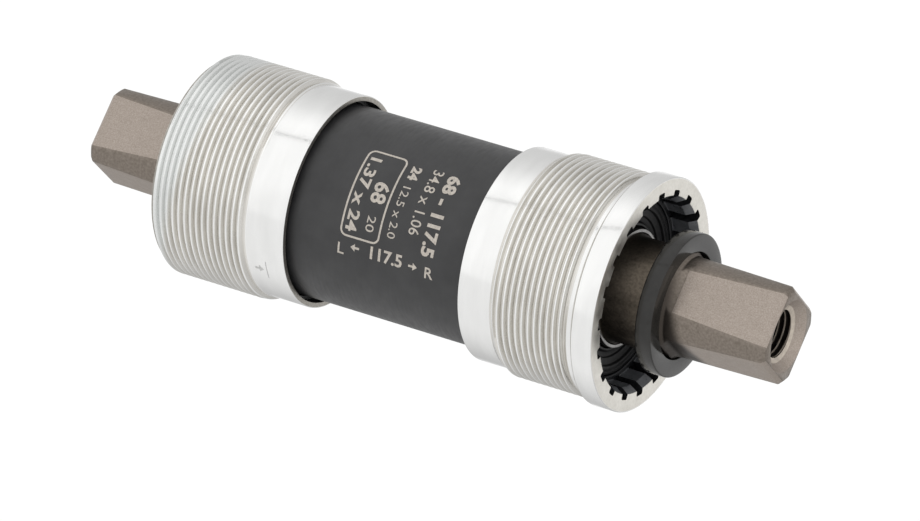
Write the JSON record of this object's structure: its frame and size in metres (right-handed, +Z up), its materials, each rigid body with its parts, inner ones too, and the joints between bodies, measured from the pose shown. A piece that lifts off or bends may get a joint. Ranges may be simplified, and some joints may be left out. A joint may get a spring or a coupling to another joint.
{
  "type": "bottom bracket",
  "caption": "Cartridge bottom bracket with a square-taper spindle on caged ball bearings, a flanged threaded drive cup and a threaded adapter that slides on the other end of the tube.",
  "frame": {"origin": "on the spindle's axis, at the middle of the spindle's length, which is the centre of the whole object's box", "axes": "+X along the spindle towards the drive (flanged) side; +Z up; +Y away from the front view"},
  "size_m": [0.1174, 0.0362, 0.0362],
  "materials": {
    "cup_aluminium": "machined bare aluminium, threaded",
    "black_tube": "satin black coat over steel, with light etched marks",
    "spacer_aluminium": "plain turned sleeve",
    "spindle_steel": "brown-grey blasted and treated steel",
    "collar_rubber": "smooth black, slightly glossy",
    "seal_rubber": "moulded black",
    "bearing_steel": "ground and polished",
    "cage_resin": "moulded resin"
  },
  "bodies": {
    "cartridge": {"cartridge_tube": "black_tube", "drive_cup": "cup_aluminium", "bearing_spacer": "spacer_aluminium", "drive_outer_ring": "bearing_steel", "left_outer_ring": "bearing_steel", "drive_seal": "seal_rubber", "left_seal": "seal_rubber", "drive_shield": "bearing_steel", "left_shield": "bearing_steel"},
    "spindle": {"spindle": "spindle_steel", "spindle_collar": "collar_rubber", "drive_inner_ring": "bearing_steel", "left_inner_ring": "bearing_steel"},
    "drive_cage": {"drive_ball_cage": "cage_resin", "drive_ball_01": "bearing_steel", "drive_ball_02": "bearing_steel", "drive_ball_03": "bearing_steel", "drive_ball_04": "bearing_steel", "drive_ball_05": "bearing_steel", "drive_ball_06": "bearing_steel", "drive_ball_07": "bearing_steel", "drive_ball_08": "bearing_steel", "drive_ball_09": "bearing_steel", "drive_ball_10": "bearing_steel", "drive_ball_11": "bearing_steel"},
    "left_cage": {"left_ball_cage": "cage_resin", "left_ball_01": "bearing_steel", "left_ball_02": "bearing_steel", "left_ball_03": "bearing_steel", "left_ball_04": "bearing_steel", "left_ball_05": "bearing_steel", "left_ball_06": "bearing_steel", "left_ball_07": "bearing_steel", "left_ball_08": "bearing_steel", "left_ball_09": "bearing_steel", "left_ball_10": "bearing_steel", "left_ball_11": "bearing_steel"},
    "left_adapter": {"left_adapter": "cup_aluminium"}
  },
  "joints": [
    {"name": "spindle_spin", "type": "hinge", "parent": "cartridge", "child": "spindle", "pos_m": [0, 0, 0], "axis": [1, 0, 0], "continuous": true},
    {"name": "drive_cage_spin", "type": "hinge", "parent": "cartridge", "child": "drive_cage", "pos_m": [0.0258, 0, 0], "axis": [1, 0, 0], "continuous": true},
    {"name": "left_cage_spin", "type": "hinge", "parent": "cartridge", "child": "left_cage", "pos_m": [-0.026, 0, 0], "axis": [1, 0, 0], "continuous": true},
    {"name": "left_adapter_slide", "type": "slide", "parent": "cartridge", "child": "left_adapter", "axis": [1, 0, 0], "range_m": [-0.0095, 0.0059]}
  ],
  "couplings": [
    {"joint": "drive_cage_spin", "follows": "spindle_spin", "ratio": 0.43243},
    {"joint": "left_cage_spin", "follows": "spindle_spin", "ratio": 0.43243}
  ]
}
